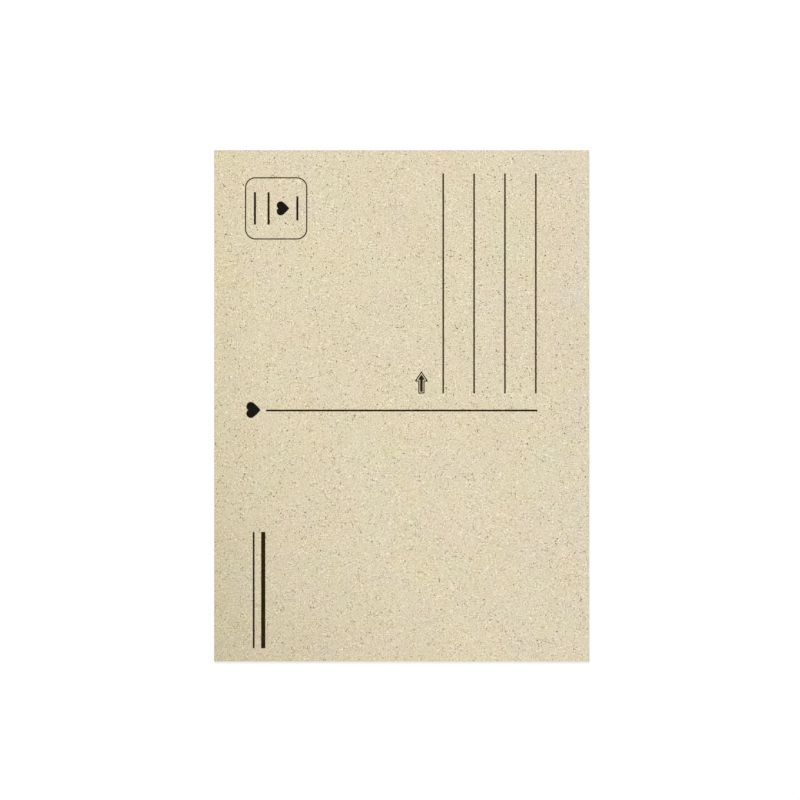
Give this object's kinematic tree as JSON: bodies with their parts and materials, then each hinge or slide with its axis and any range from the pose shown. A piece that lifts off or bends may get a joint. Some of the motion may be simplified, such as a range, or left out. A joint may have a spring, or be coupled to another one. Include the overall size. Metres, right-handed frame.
{
  "type": "postcard",
  "caption": "Flat rectangular postcard of uncoated grass-fibre board, address side up, with ruled address lines, a divider, hearts and a round-cornered stamp frame.",
  "frame": {"origin": "middle of the underside, which is the picture side", "axes": "+Y along the long edge, the way the print reads; +X along the short edge, down the written page; +Z out of the address side"},
  "size_m": [0.11, 0.15, 0.0005],
  "materials": {
    "grass_board": "matte",
    "black_ink": "matte"
  },
  "bodies": {
    "root": {"card": "grass_board", "stamp_frame": "black_ink", "stamp_heart": "black_ink", "stamp_rule_1": "black_ink", "stamp_rule_2": "black_ink", "stamp_rule_3": "black_ink", "divider_line": "black_ink", "divider_heart": "black_ink", "address_line_1": "black_ink", "address_line_2": "black_ink", "address_line_3": "black_ink", "address_line_4": "black_ink", "imprint_thin_rule": "black_ink", "imprint_thick_rule": "black_ink"}
  },
  "joints": []
}
